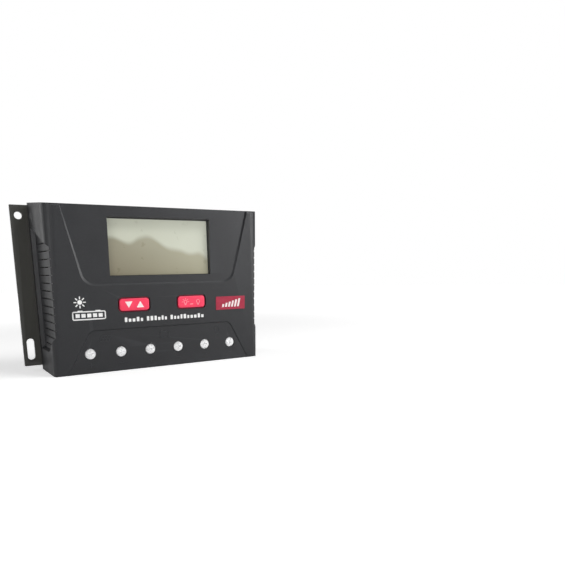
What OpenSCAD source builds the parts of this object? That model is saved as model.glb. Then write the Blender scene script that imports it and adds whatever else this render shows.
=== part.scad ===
// Wall-mounted solar charge controller.
// A moulded cover with a tilted face stands on a finned aluminium base plate that has two
// fixing flanges. Behind the cover lie a display board, a main board and a six-way block of
// rising-clamp cable terminals. X runs to the right, Y into the wall and Z up.

/* [Base plate] */
// Width over both fixing flanges
plate_w = 173; // [170:1:178]
// Height of the extruded base plate
plate_h = 108; // [106:1:109]
// Height of its lower end above the underside of the cover
plate_lift = 3; // [3:0.5:4]
// Thickness of the fixing flanges
flange_t = 3.5; // [3:0.5:4]
// Thickness of the raised web that carries the electronics
web_t = 3; // [2.5:0.5:3]
// Distance from the flange front to the front of the raised web
web_rise = 4; // [4:0.5:4.5]
// Number of cooling fins
fin_count = 10; // [6:2:10]
// Distance between fins
fin_pitch = 11.6; // [11:0.1:11.6]
// Thickness of a fin
fin_t = 2.5; // [2:0.5:3]
// Radius of the fixing holes and slots
fixing_r = 2.5; // [2:0.5:3]
// Distance between the left and right fixings
fixing_span = 163.4; // [162:0.2:164]
// Height of the round fixing holes
fixing_hole_z = 104.2; // [102:0.2:105]
// Height of the middle of the fixing slots
fixing_slot_z = 14.4; // [13:0.2:16]
// Overall length of the fixing slots
fixing_slot_len = 15; // [10:1:16]

/* [Cover] */
// Width of the cover where it meets the base plate
cover_base_w = 151; // [150:1:152]
// Width of the face, over its sharp corners
cover_face_w = 147.6; // [146:0.2:148]
// Height of the face
cover_h = 108; // [108:1:110]
// Height of the top wall where it meets the base plate
cover_base_h = 112.5; // [112:0.5:114]
// Depth of the cover at the terminal end
depth_low = 40; // [40:0.5:42]
// Depth of the cover at the display end
depth_high = 47; // [46:0.5:48]
// Wall thickness
wall = 2.2; // [2:0.1:2.4]
// Radius of the side edges at the lower end of the face
edge_r_low = 3; // [2:0.5:4]
// Radius of the side edges at the upper end of the face
edge_r_high = 7.5; // [5:0.5:8]

/* [Display] */
// Width of the display window
window_w = 70.8; // [70:0.2:71]
// Height of the display window
window_h = 37.8; // [37:0.2:38]
// Height of the lower edge of the display recess
recess_z = 57.6; // [57:0.2:58]
// Half width of the display recess at the top of the face
recess_half_w = 64.8; // [64:0.2:65]
// Depth of the display recess at the top of the face
recess_depth = 1.5; // [1.2:0.1:2]
// Depth of the display recess at its lower edge
recess_foot_depth = 0.4; // [0.3:0.1:1]

/* [Keys] */
// Width of a key cap
key_w = 20.2; // [19:0.1:22]
// Height of a key cap
key_h = 8.2; // [8:0.1:9.2]
// Distance from the middle of the face to the middle of a key
key_x = 20.4; // [20:0.1:21]
// Distance of the key centres below the display recess
key_drop = 13; // [12.8:0.1:13.4]
// How far a key cap stands out of the face
key_proud = 0.3; // [0.2:0.1:1.5]

/* [Terminals] */
// Distance between terminals
terminal_pitch = 20.3; // [20:0.1:20.3]
// Height of the terminal screws
terminal_z = 13.1; // [13:0.1:13.4]
// Radius of a terminal screw's head
terminal_head_r = 3.5; // [3:0.1:3.9]
// Radius of a terminal screw's thread
terminal_thread_r = 2.5; // [2:0.1:2.6]

/* [Hidden] */
$fn = 48;
gap = 0.05;
through = 20;

// The row's origin is under the middle of the whole object.
row_y = (depth_high - flange_t) / 2;

// Cover
face_slope = (depth_high - depth_low) / cover_h;
face_tilt = atan(face_slope);
side_taper = (cover_base_w - cover_face_w) / 2 / depth_low;
top_slope = (cover_base_h - cover_h) / depth_high;
fin_channel_half_w = 69.2;
fin_channel_reach = 6;
front_edge_r = 2;
vent_depth = 2.2;
vent_groove = 0.7;
vent_pitch = 5;
vent_slot_h = 0.7;
vent_count = 14;
vent_first_z = 19.5;
vent_backing = 1.8;
panel_depth = 0.6;
panel_backing = wall + 0.4;
cable_window_half_w = 5.5;
cable_window_y = [-22.5, -11.5];
screw_pilot_r = 1.5;
screw_clearance_r = 1.8;
display_boss_r = 2.8;

// Display frame: upright, with its origin on the lower edge of the recess's floor
face_at_recess = depth_low + face_slope * recess_z;
floor_tilt = face_tilt - atan((recess_depth - recess_foot_depth) / (cover_h - recess_z));
recess_border = 1.2;
window_z = 6;
collar_t = 2;
collar_depth = 2.25;
bezel_y = collar_depth + 0.1;
bezel_t = 0.6;
bezel_border = 0.4;
bezel_top_border = 0.9;
glass_y = bezel_y + bezel_t + gap;
glass_t = 2.6;
backlight_y = glass_y + glass_t + gap;
display_board_y = 10.5;
board_t = 1.6;
display_board_half_w = 52;
display_board_z0 = -22;
display_board_z1 = 44.5;
display_boss_x = 47.5;
display_boss_z = [-18, 40];

// Keys, in the display frame
key_face_y = key_drop * face_slope - recess_foot_depth;
key_corner_r = 2;
key_clearance = 0.9;
key_flange_y = key_face_y + wall + 0.6;
key_flange_t = 1.2;
plunger_r = 1.75;
plunger_y = 5.8;
switch_y = 7;
switch_w = 6;

// Boards and terminals, from the flange front
board_y = -9;
board_front_y = board_y - board_t;
board_half_w = 58.5;
board_z0 = 5;
board_z1 = 103;
header_x = 28;
header_z = 94;
boss_x = 62.5;
boss_z = [10, 101];
boss_r = 3.2;
standoff_x = [-54, 0, 54];
standoff_z = [32, 98];
block_z0 = wall + 0.6;
block_z1 = 26.4;
block_front_y = -37.2;
cell_half_w = 6.1;
cell_front_y = -33.8;
entry_half_w = 5;
entry_y = [-22, -12.6];
head_seat_y = -36.3;
head_front_y = -39.9;
bar_y = [-23.2, -21.7];
bar_half_w = 4.1;
bar_leg_z = [22.6, 24.1];
cage_half_w = 5.6;
cage_wall = 1.2;
cage_z = [8.1, 18.1];
cage_floor_y = [-12.9, -11.4];
cage_top_y = [-27.4, -24.6];
mosfet_x = [for (i = [1:4], side = [-1, 1]) side * i * fin_pitch];
mosfet_z = 56;

// ---- Outlines -----------------------------------------------------------------------------

function unit(v) = v / norm(v);

// The arc that rounds corner b between a and c.
function corner_arc(a, b, c, r, n) =
    let(
        u = unit(a - b), v = unit(c - b), half = acos(u * v) / 2,
        centre = b + unit(u + v) * r / sin(half),
        p = b + u * r / tan(half) - centre, q = b + v * r / tan(half) - centre,
        start = atan2(p[1], p[0]),
        turn = atan2(p[0] * q[1] - p[1] * q[0], p * q)
    )
    [for (i = [0:n]) centre + r * [cos(start + turn * i / n), sin(start + turn * i / n)]];

// An outline with a radius at each corner. A radius of 0 keeps the corner sharp.
function rounded(points, radii, n = 8) =
    let(count = len(points))
    [for (i = [0:count - 1])
        let(before = points[(i + count - 1) % count], after = points[(i + 1) % count])
        each radii[i] == 0 ? [points[i]] : corner_arc(before, points[i], after, radii[i], n)];

function rounded_box(half_w, z0, z1, r) =
    rounded([[-half_w, z0], [half_w, z0], [half_w, z1], [-half_w, z1]], [r, r, r, r]);

// ---- Frames -------------------------------------------------------------------------------

// From the flange front, where Y is 0, to the row's frame.
module placed() {
    translate([0, row_y, 0]) children();
}

// The face: Y is 0 on its surface and grows into the case.
module on_face() {
    translate([0, -depth_low, 0]) rotate([face_tilt, 0, 0]) children();
}

// The display and its board stand upright: Z is 0 at the recess's lower edge.
module on_display() {
    translate([0, recess_foot_depth - face_at_recess, recess_z]) children();
}

// The floor of the display recess, which leans more than the display behind it.
module on_recess() {
    on_display() rotate([floor_tilt, 0, 0]) children();
}

// The right-hand side wall: X is 0 on its surface and grows outwards.
module on_side() {
    translate([cover_base_w / 2, 0, 0]) rotate([0, 0, -atan(side_taper)]) children();
}

module both_sides() {
    children();
    mirror([1, 0, 0]) children();
}

// An outline in X and Z, extruded from y0 to y1.
module slab(points, y0, y1) {
    translate([0, y1, 0]) rotate([90, 0, 0]) linear_extrude(y1 - y0) polygon(points);
}

// A cylinder along Y from y0 to y1.
module rod(r, y0, y1) {
    translate([0, y1, 0]) rotate([90, 0, 0]) cylinder(r = r, h = y1 - y0);
}

// A box from its lowest to its highest corner.
module block(low, high) {
    translate(low) cube(high - low);
}

// ---- Base plate ---------------------------------------------------------------------------

module fixing_slot() {
    reach = fixing_slot_len / 2 - fixing_r;
    for (dz = [-reach, reach]) translate([0, 0, dz]) rod(fixing_r, -1, flange_t + 1);
    block([-fixing_r, -1, -reach], [fixing_r, flange_t + 1, reach]);
}

module fin(x) {
    tip_y = flange_t - 0.4 - fin_t / 2;
    root_y = web_t - web_rise - 0.5;
    translate([x - fin_t / 2, root_y]) square([fin_t, tip_y - root_y]);
    translate([x, tip_y]) circle(r = fin_t / 2);
}

module plate_profile() {
    web_half_w = 68.8;
    side_t = 2.5;
    flange_w = plate_w / 2 - web_half_w + side_t;
    translate([-web_half_w, -web_rise]) square([2 * web_half_w, web_t]);
    both_sides() {
        translate([web_half_w - side_t, -web_rise]) square([side_t, web_rise + flange_t]);
        translate([plate_w / 2 - flange_w, 0]) square([flange_w, flange_t]);
    }
    for (i = [0:fin_count - 1]) fin((i - (fin_count - 1) / 2) * fin_pitch);
}

module heat_sink() {
    color([0.2, 0.2, 0.18]) placed() difference() {
        translate([0, 0, plate_lift]) linear_extrude(plate_h) plate_profile();
        for (side = [-1, 1]) {
            translate([side * fixing_span / 2, 0, fixing_hole_z]) rod(fixing_r, -1, flange_t + 1);
            translate([side * fixing_span / 2, 0, fixing_slot_z]) fixing_slot();
        }
        at_cover_bosses() rod(screw_clearance_r, -web_rise - 1, 1);
        for (x = mosfet_x) translate([x, 0, mosfet_z]) rod(screw_pilot_r, -web_rise - 1, -web_rise + 2.4);
    }
}

// ---- Cover --------------------------------------------------------------------------------

// Side view of the cover, Y against Z, set in by a wall thickness.
function side_profile(inset, r) =
    let(
        face_in = inset / cos(face_tilt),
        top_in = inset / cos(atan(top_slope)),
        face_drop = top_slope * (depth_high - depth_low + face_in),
        top_z = (cover_h - top_in + face_drop) / (1 + top_slope * face_slope),
        back_y = inset == 0 ? 0 : 1
    )
    rounded([
        [back_y, inset],
        [-depth_low - face_slope * inset + face_in, inset],
        [-depth_low - face_slope * top_z + face_in, top_z],
        [back_y, cover_base_h - top_in + top_slope * back_y]
    ], [0, r / 2, r, 0]);

// Plan of the cover from its face inwards, with rounded side edges.
function plan_outline(inset, r) =
    let(reach = 60, half = cover_face_w / 2 - inset)
    rounded([
        [-half, inset], [half, inset],
        [half + side_taper * (reach - inset), reach], [-half - side_taper * (reach - inset), reach]
    ], [r, r, 0, 0]);

// The cover as a solid, set in by a wall thickness. Its side edges widen from r0 to r1.
module cover_solid(inset, r0, r1) {
    intersection() {
        rotate([90, 0, 90]) linear_extrude(2 * cover_base_w, center = true)
            polygon(side_profile(inset, front_edge_r));
        on_face() hull() {
            translate([0, 0, -10]) linear_extrude(0.1) polygon(plan_outline(inset, r0));
            translate([0, 0, cover_h + 10]) linear_extrude(0.1) polygon(plan_outline(inset, r1));
        }
    }
}

// Outline of the side vents, Y against Z, set in by a border.
function vent_outline(border) =
    rounded([
        [-4 - border, 15 + border], [-30, 15 + border], [-60, 38 + border],
        [-60, 78.5 - border], [-4 - border, 97 - border]
    ], [1, 14, 0, 0, 1]);

module vent_prism(border, x0, x1) {
    translate([x0, 0, 0]) rotate([90, 0, 90]) linear_extrude(x1 - x0) polygon(vent_outline(border));
}

// What the side vents take away: a recess with sloped borders, then grooves and slots.
module vent_cut() {
    on_side() {
        hull() {
            vent_prism(0, 0.4, 0.5);
            vent_prism(1.6, -vent_depth, -vent_depth + 0.1);
        }
        intersection() {
            vent_prism(2.6, -10, 0);
            for (i = [0:vent_count - 1]) {
                z = vent_first_z + i * vent_pitch;
                block([-vent_depth - vent_groove, -60, z], [0, -8, z + vent_slot_h]);
                block([-9, -34, z], [0, -8, z + vent_slot_h]);
            }
        }
    }
}

// Outline of the display recess, in the frame of its floor, set in by a border.
function recess_outline(border) =
    let(
        top_z = 60, slope = 0.245, corner_r = 9,
        bottom_half = recess_half_w - slope * (cover_h - recess_z) - border,
        top_half = bottom_half + slope * top_z
    )
    rounded([
        [-bottom_half, border], [bottom_half, border], [top_half, top_z], [-top_half, top_z]
    ], [corner_r, corner_r, 0, 0]);

module display_recess() {
    hull() {
        on_recess() slab(recess_outline(recess_border), -0.02, 0);
        on_display() translate([0, -recess_foot_depth, 0]) rotate([face_tilt, 0, 0])
            slab(recess_outline(0), -0.5, -0.02);
    }
}

// Outline of the terminal panel, in the face frame, set in by a border.
function panel_outline(border) =
    let(
        top_z = 29, drop = 10, slope = 0.535, corner_r = 6,
        top_half = 50.4 - border,
        bottom_half = top_half + slope * (top_z + drop)
    )
    rounded([
        [-bottom_half, -drop], [bottom_half, -drop],
        [top_half, top_z - border], [-top_half, top_z - border]
    ], [0, 0, corner_r, corner_r]);

module terminal_panel() {
    on_face() hull() {
        slab(panel_outline(0), -0.5, -0.02);
        slab(panel_outline(panel_depth), panel_depth - 0.1, panel_depth);
    }
}

module at_cover_bosses() {
    for (side = [-1, 1], z = boss_z) translate([side * boss_x, 0, z]) children();
}

// The surface of the cover in the display frame, at a height above or below the recess's lower edge
function surface_y(z) = z < 0 ? -recess_foot_depth - z * face_slope : -z * tan(floor_tilt);

// In the display frame
module at_display_bosses() {
    for (side = [-1, 1], z = display_boss_z) translate([side * display_boss_x, 0, z]) children();
}

module cover_bosses() {
    for (side = [-1, 1], z = boss_z) translate([side * boss_x, 0, z])
        rod(boss_r, -depth_low - face_slope * z + 1, -web_rise);
    on_display() for (side = [-1, 1], z = display_boss_z)
        translate([side * display_boss_x, 0, z]) rod(display_boss_r, surface_y(z) + 1, display_board_y);
}

// The frame that stands behind the display window
module window_collar() {
    half = window_w / 2 + collar_t;
    outline = rounded_box(half, window_z - collar_t, window_z + window_h + collar_t, 1);
    intersection() {
        on_display() slab(outline, -through, collar_depth);
        on_recess() block([-cover_base_w, 1, 0], [cover_base_w, through, cover_h]);
    }
}

module key_windows() {
    half_w = key_w / 2 + key_clearance;
    half_h = key_h / 2 + key_clearance;
    for (side = [-1, 1]) translate([side * key_x, 0, -key_drop])
        slab(rounded_box(half_w, -half_h, half_h, key_corner_r + key_clearance), -through, through / 2);
}

// A screwdriver hole in the face and a cable window in the underside
module terminal_opening() {
    translate([0, 0, terminal_z]) rod(terminal_head_r + 0.25, -60, block_front_y + 1);
    block(
        [-cable_window_half_w, cable_window_y[0], -1],
        [cable_window_half_w, cable_window_y[1], wall + 1]);
}

// Where the base plate's channel passes through the end walls
module channel_notches() {
    for (z = [0, cover_base_h]) block(
        [-fin_channel_half_w, -web_rise - 0.4, z - fin_channel_reach],
        [fin_channel_half_w, 1, z + fin_channel_reach]);
}

module front_cover() {
    color([0.24, 0.24, 0.25]) placed() difference() {
        union() {
            difference() {
                cover_solid(0, edge_r_low, edge_r_high);
                difference() {
                    cover_solid(wall, 2, 3);
                    both_sides() on_side() vent_prism(-1, -vent_depth - vent_backing, 0);
                    on_recess() slab(recess_outline(-1), -10, wall);
                    on_face() slab(panel_outline(-1), -1, panel_backing);
                }
            }
            cover_bosses();
            window_collar();
        }
        display_recess();
        terminal_panel();
        both_sides() vent_cut();
        on_display() {
            slab(rounded_box(window_w / 2, window_z, window_z + window_h, 0.6), -through, through / 2);
            key_windows();
            at_display_bosses() rod(1.1, 4, through);
        }
        at_cover_bosses() rod(screw_pilot_r, -30, 0);
        for (i = [1:6]) translate([terminal_x(i), 0, 0]) terminal_opening();
        channel_notches();
    }
}

module rating_label() {
    label_w = 23.4;
    label_h = 9.6;
    color([0.62, 0.13, 0.25]) placed() on_face() translate([51, 0, 42.6])
        slab(rounded_box(label_w / 2, -label_h / 2, label_h / 2, 0.5), -0.3, 0);
}

// ---- Display ------------------------------------------------------------------------------

display_half_w = 38.6;
display_z0 = window_z - 3.2;
display_z1 = window_z + window_h + 1.4;

module lcd_bezel() {
    skirt = 0.8;
    half_w = display_half_w + skirt;
    sight_half_w = window_w / 2 - bezel_border;
    color([0.06, 0.06, 0.06]) placed() on_display() difference() {
        slab(
            rounded_box(half_w, display_z0 - skirt, display_z1 + skirt, 1),
            bezel_y, display_board_y - 0.1);
        slab(
            rounded_box(sight_half_w, window_z + bezel_border, window_z + window_h - bezel_top_border, 0.5),
            bezel_y - 1, bezel_y + 2);
        block(
            [-display_half_w, bezel_y + bezel_t, display_z0],
            [display_half_w, display_board_y + 1, display_z1]);
    }
}

module lcd_glass() {
    half_w = display_half_w - gap;
    color([0.66, 0.67, 0.58]) placed() on_display()
        block([-half_w, glass_y, display_z0 + gap], [half_w, glass_y + glass_t, display_z1 - gap]);
}

module backlight() {
    half_w = display_half_w - gap;
    color([0.93, 0.93, 0.9]) placed() on_display()
        block([-half_w, backlight_y, display_z0 + 3], [half_w, display_board_y, display_z1 - gap]);
}

module contact_strip() {
    half_w = display_half_w - 2;
    color([0.85, 0.45, 0.6]) placed() on_display()
        block([-half_w, backlight_y, display_z0 + 0.6], [half_w, display_board_y, display_z0 + 2.4]);
}

module display_board() {
    color([0.06, 0.3, 0.18]) placed() on_display() difference() {
        block(
            [-display_board_half_w, display_board_y, display_board_z0],
            [display_board_half_w, display_board_y + board_t, display_board_z1]);
        at_display_bosses() rod(1.5, display_board_y - 1, display_board_y + 3);
    }
}

// A cross recess in a screw head that faces along Y
module cross_recess(half, y0, y1) {
    arm = half / 5;
    block([-half, y0, -arm], [half, y1, arm]);
    block([-arm, y0, -half], [arm, y1, half]);
}

module display_screws() {
    back = display_board_y + board_t;
    color([0.75, 0.75, 0.76]) placed() on_display() at_display_bosses() difference() {
        union() {
            rod(2.4, back, back + 1.7);
            rod(1.05, back - 6, back + 0.5);
        }
        cross_recess(1.6, back + 1, back + 2);
    }
}

module header_pins() {
    pin_pitch = 2.54;
    pin_half = 0.32;
    back = display_board_y + board_t;
    body_t = 2.5;
    color([0.12, 0.12, 0.12]) placed() on_display() translate([header_x, 0, header_z - recess_z]) {
        block([-10.2, back, -1.25], [10.2, back + body_t, 1.25]);
        for (i = [-3.5:3.5]) translate([i * pin_pitch, 0, 0])
            block([-pin_half, back + body_t, -pin_half], [pin_half, back + body_t + 10, pin_half]);
    }
}

// ---- Keys ---------------------------------------------------------------------------------

module on_key(side) {
    on_display() translate([side * key_x, 0, -key_drop]) children();
}

module key(side) {
    flange_half_w = key_w / 2 + 1.7;
    flange_half_h = key_h / 2 + 1.5;
    flange_back_y = key_flange_y + key_flange_t;
    color([0.93, 0.25, 0.38]) placed() on_key(side) {
        intersection() {
            slab(rounded_box(key_w / 2, -key_h / 2, key_h / 2, key_corner_r), -through, key_flange_y + 0.1);
            translate([0, key_face_y - key_proud, 0]) rotate([face_tilt, 0, 0])
                block([-key_w, 0, -key_w], [key_w, through, key_w]);
        }
        slab(
            rounded_box(flange_half_w, -flange_half_h, flange_half_h, key_corner_r),
            key_flange_y, flange_back_y);
        rod(1.6, flange_back_y - 0.2, plunger_y - gap);
    }
}

module plunger(side) {
    color([0.15, 0.15, 0.15]) placed() on_key(side) rod(plunger_r, plunger_y, switch_y + 0.5);
}

module switch(side) {
    color([0.2, 0.2, 0.2]) placed() on_key(side) difference() {
        block([-switch_w / 2, switch_y, -switch_w / 2], [switch_w / 2, display_board_y, switch_w / 2]);
        rod(plunger_r + 0.1, switch_y - 1, switch_y + 1.5);
    }
}

module key_page() { key(-1); }
module key_load() { key(1); }
module plunger_page() { plunger(-1); }
module plunger_load() { plunger(1); }
module switch_page() { switch(-1); }
module switch_load() { switch(1); }

// ---- Main board ---------------------------------------------------------------------------

module at_standoffs() {
    for (x = standoff_x, z = standoff_z) translate([x, 0, z]) children();
}

module main_board() {
    color([0.07, 0.28, 0.16]) placed() difference() {
        block([-board_half_w, board_front_y, board_z0], [board_half_w, board_y, board_z1]);
        at_standoffs() rod(1.7, board_front_y - 1, board_y + 1);
    }
}

module standoffs() {
    color([0.8, 0.68, 0.35]) placed() at_standoffs() difference() {
        rod(2.75, board_y, -web_rise);
        rod(1.3, board_y - 1, -web_rise - 0.5);
    }
}

module board_screws() {
    color([0.75, 0.75, 0.76]) placed() at_standoffs() difference() {
        union() {
            rod(2.75, board_front_y - 2, board_front_y);
            rod(1.25, board_front_y - 1, -web_rise - 1);
        }
        cross_recess(1.8, board_front_y - 3, board_front_y - 1.2);
    }
}

module header_socket() {
    color([0.12, 0.12, 0.12]) placed() translate([header_x, 0, header_z]) difference() {
        block([-10.6, -22, -2.5], [10.6, board_front_y, 2.5]);
        block([-9.8, -23, -1.4], [9.8, -13, 1.4]);
    }
}

module mosfets() {
    tab_t = 1.3;
    back_y = -web_rise - 0.3;
    color([0.1, 0.1, 0.1]) placed() for (x = mosfet_x) translate([x, 0, mosfet_z]) {
        difference() {
            block([-5, back_y - tab_t, -3.2], [5, back_y, 3.4]);
            rod(1.8, back_y - 3, back_y + 1);
        }
        block([-5, back_y - 4.4, -12.3], [5, back_y, -3.2]);
        for (lead = [-2.54, 0, 2.54]) translate([lead, 0, 0]) {
            block([-0.4, back_y - 2.9, -16], [0.4, back_y - 2.3, -12.3]);
            block([-0.4, board_y, -16.6], [0.4, back_y - 2.3, -16]);
        }
    }
}

module thermal_pad() {
    color([0.6, 0.62, 0.65]) placed() difference() {
        block([-53, -web_rise - 0.3, mosfet_z - 14], [53, -web_rise, mosfet_z + 5]);
        for (x = mosfet_x) translate([x, 0, mosfet_z]) rod(1.8, -web_rise - 1, -web_rise + 1);
    }
}

module mosfet_screws() {
    seat_y = -web_rise - 1.6;
    color([0.75, 0.75, 0.76]) placed() for (x = mosfet_x) translate([x, 0, mosfet_z]) {
        rod(2.7, seat_y - 2, seat_y);
        rod(1.45, seat_y - 0.5, -web_rise + 2);
    }
}

module capacitors() {
    color([0.12, 0.14, 0.2]) placed() for (x = [-40, -22, -4]) translate([x, 0, 82])
        rod(6.25, board_front_y - 18, board_front_y);
}

module blade_fuses() {
    color([0.85, 0.7, 0.15]) placed() for (x = [-38, -14]) translate([x, 0, 62]) {
        block([-9.5, board_front_y - 16, -2.5], [9.5, board_front_y - 5, 2.5]);
        for (side = [-1, 1]) translate([side * 6, 0, 0])
            block([-2.5, board_front_y - 5, -0.4], [2.5, board_front_y, 0.4]);
    }
}

module shunt() {
    color([0.72, 0.45, 0.3]) placed() translate([0, 0, 45]) {
        block([-14, board_front_y - 5.5, -3], [14, board_front_y - 4, 3]);
        for (side = [-1, 1]) translate([side * 13, 0, 0])
            block([-1, board_front_y - 4, -3], [1, board_front_y, 3]);
    }
}

module inductor() {
    color([0.35, 0.33, 0.32]) placed() translate([18, 0, 74]) {
        rod(5.5, board_front_y - 1.5, board_front_y);
        rod(4.3, board_front_y - 7.5, board_front_y - 1.4);
        rod(5.5, board_front_y - 9, board_front_y - 7.4);
    }
}

module microcontroller() {
    color([0.08, 0.08, 0.09]) placed() translate([36, 0, 62]) {
        block([-6, board_front_y - 1.6, -6], [6, board_front_y - 0.2, 6]);
        for (turn = [0:90:270], i = [-5:5]) rotate([0, turn, 0])
            block([i - 0.2, board_front_y - 0.7, 5.9], [i + 0.2, board_front_y, 7.4]);
    }
}

module cover_screws() {
    seat_y = web_t - web_rise;
    color([0.3, 0.3, 0.3]) placed() at_cover_bosses() difference() {
        union() {
            rod(2.8, seat_y, seat_y + 2.2);
            rod(screw_pilot_r - 0.05, seat_y - 20, seat_y + 0.5);
        }
        cross_recess(1.8, seat_y + 1.3, seat_y + 3);
    }
}

// ---- Terminals ----------------------------------------------------------------------------

function terminal_x(i) = (i - 3.5) * terminal_pitch;

module terminal_block() {
    half_w = terminal_x(6) + cell_half_w + 1.9;
    color([0.14, 0.14, 0.15]) placed() difference() {
        block([-half_w, block_front_y, block_z0], [half_w, board_front_y, block_z1]);
        for (i = [1:6]) translate([terminal_x(i), 0, 0]) {
            block(
                [-cell_half_w, cell_front_y, block_z0 + 2.2],
                [cell_half_w, board_front_y + 1, block_z1 - 1.8]);
            block([-entry_half_w, entry_y[0], block_z0 - 1], [entry_half_w, entry_y[1], block_z0 + 3]);
            translate([0, 0, terminal_z]) {
                rod(terminal_thread_r + 0.3, cell_front_y - 5, cell_front_y + 1);
                rod(terminal_head_r + 0.3, block_front_y - 1, head_seat_y + gap);
            }
        }
    }
}

module contact_bars() {
    color([0.8, 0.66, 0.3]) placed() for (i = [1:6]) translate([terminal_x(i), 0, 0]) {
        block([-bar_half_w, bar_y[0], block_z0 + 2.2], [bar_half_w, bar_y[1], bar_leg_z[1]]);
        block([-bar_half_w, bar_y[1], bar_leg_z[0]], [bar_half_w, board_front_y, bar_leg_z[1]]);
    }
}

module terminal_screw(i) {
    slot_reach = terminal_head_r + 1;
    color([0.86, 0.86, 0.86]) placed() translate([terminal_x(i), 0, terminal_z]) difference() {
        union() {
            rod(terminal_head_r, head_front_y, head_seat_y);
            rod(terminal_thread_r, head_seat_y - 0.5, bar_y[0] - 0.1);
        }
        block([-slot_reach, head_front_y - 1, -0.5], [slot_reach, head_front_y + 0.9, 0.5]);
        block([-0.6, head_front_y - 1, -2.2], [0.6, head_front_y + 1.4, 2.2]);
    }
}

module clamp_cage(i) {
    inner = cage_half_w - cage_wall;
    color([0.78, 0.76, 0.7]) placed() translate([terminal_x(i), 0, 0]) difference() {
        block([-cage_half_w, cage_top_y[0], cage_z[0]], [cage_half_w, cage_floor_y[1], cage_z[1]]);
        block([-inner, cage_top_y[1], cage_z[0] - 1], [inner, cage_floor_y[0], cage_z[1] + 1]);
        translate([0, 0, terminal_z]) rod(terminal_thread_r + gap, cage_top_y[0] - 1, cage_top_y[1] + 1);
    }
}

module terminal_screw_1() { terminal_screw(1); }
module terminal_screw_2() { terminal_screw(2); }
module terminal_screw_3() { terminal_screw(3); }
module terminal_screw_4() { terminal_screw(4); }
module terminal_screw_5() { terminal_screw(5); }
module terminal_screw_6() { terminal_screw(6); }
module clamp_cage_1() { clamp_cage(1); }
module clamp_cage_2() { clamp_cage(2); }
module clamp_cage_3() { clamp_cage(3); }
module clamp_cage_4() { clamp_cage(4); }
module clamp_cage_5() { clamp_cage(5); }
module clamp_cage_6() { clamp_cage(6); }

heat_sink();
front_cover();
rating_label();
lcd_bezel();
lcd_glass();
backlight();
contact_strip();
display_board();
display_screws();
header_pins();
key_page();
key_load();
plunger_page();
plunger_load();
switch_page();
switch_load();
main_board();
standoffs();
board_screws();
header_socket();
terminal_block();
contact_bars();
terminal_screw_1();
terminal_screw_2();
terminal_screw_3();
terminal_screw_4();
terminal_screw_5();
terminal_screw_6();
clamp_cage_1();
clamp_cage_2();
clamp_cage_3();
clamp_cage_4();
clamp_cage_5();
clamp_cage_6();
mosfets();
thermal_pad();
mosfet_screws();
capacitors();
blade_fuses();
shunt();
inductor();
microcontroller();
cover_screws();
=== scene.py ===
"""Looks of a wall-mounted solar charge controller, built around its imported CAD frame.

Lengths are in millimetres and are turned into metres where a mesh is made.
"""
import math
import random

import bmesh
import bpy
from mathutils import Matrix, Vector


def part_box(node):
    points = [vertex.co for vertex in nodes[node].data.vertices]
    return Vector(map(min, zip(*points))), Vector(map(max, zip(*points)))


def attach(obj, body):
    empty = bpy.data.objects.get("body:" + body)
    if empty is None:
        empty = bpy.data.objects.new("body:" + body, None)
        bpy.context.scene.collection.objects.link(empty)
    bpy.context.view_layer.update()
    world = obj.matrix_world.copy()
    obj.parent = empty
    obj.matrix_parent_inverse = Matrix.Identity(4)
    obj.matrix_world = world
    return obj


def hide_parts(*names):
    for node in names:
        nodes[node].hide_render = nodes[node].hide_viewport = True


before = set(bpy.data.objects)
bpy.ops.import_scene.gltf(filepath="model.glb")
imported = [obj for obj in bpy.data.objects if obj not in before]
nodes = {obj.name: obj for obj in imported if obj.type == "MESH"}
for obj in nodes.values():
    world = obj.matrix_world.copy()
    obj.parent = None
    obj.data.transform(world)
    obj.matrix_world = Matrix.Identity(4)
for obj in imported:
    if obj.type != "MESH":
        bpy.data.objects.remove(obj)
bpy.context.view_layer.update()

MM = 0.001
TERMINALS = range(1, 7)

# ---- Frames of the cover ------------------------------------------------------------------

FLANGE_T = 3.5
DEPTH_LOW = 40
DEPTH_HIGH = 47
COVER_H = 108
PANEL_DEPTH = 0.6

flange_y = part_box("heat_sink")[1].y / MM - FLANGE_T
face_slope = (DEPTH_HIGH - DEPTH_LOW) / COVER_H

# FACE has its Y into the case and its Z up the tilted face. ROW is the whole object's frame.
face_foot = Matrix.Translation((0, flange_y - DEPTH_LOW, 0))
FACE = face_foot @ Matrix.Rotation(math.atan(face_slope), 4, "X")
ROW = Matrix.Identity(4)


def rotation(degrees, axis):
    return Matrix.Rotation(math.radians(degrees), 4, axis)


def box_round(points):
    """The lowest and the highest corner of the box round some points."""
    low = Vector([min(p[axis] for p in points) for axis in range(3)])
    high = Vector([max(p[axis] for p in points) for axis in range(3)])
    return low, high


def extent(node, place=ROW):
    """A CAD node's lowest and highest corner in a frame, in millimetres."""
    into = place.inverted()
    return box_round([into @ (v.co / MM) for v in nodes[node].data.vertices])


def middle(low, high):
    """The middle of a box, across and up."""
    return (low.x + high.x) / 2, (low.z + high.z) / 2


def islands(node):
    """The box of each separate solid in a CAD node, in millimetres, from left to right."""
    bm = bmesh.new()
    bm.from_mesh(nodes[node].data)
    bmesh.ops.remove_doubles(bm, verts=bm.verts, dist=1e-6)
    boxes = []
    left = set(bm.verts)
    while left:
        group = [left.pop()]
        for vert in group:
            for edge in vert.link_edges:
                other = edge.other_vert(vert)
                if other in left:
                    left.remove(other)
                    group.append(other)
        boxes.append(box_round([v.co / MM for v in group]))
    bm.free()
    return sorted(boxes, key=lambda box: (round(box[0].x), round(box[0].z)))


# ---- Materials ----------------------------------------------------------------------------

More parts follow.
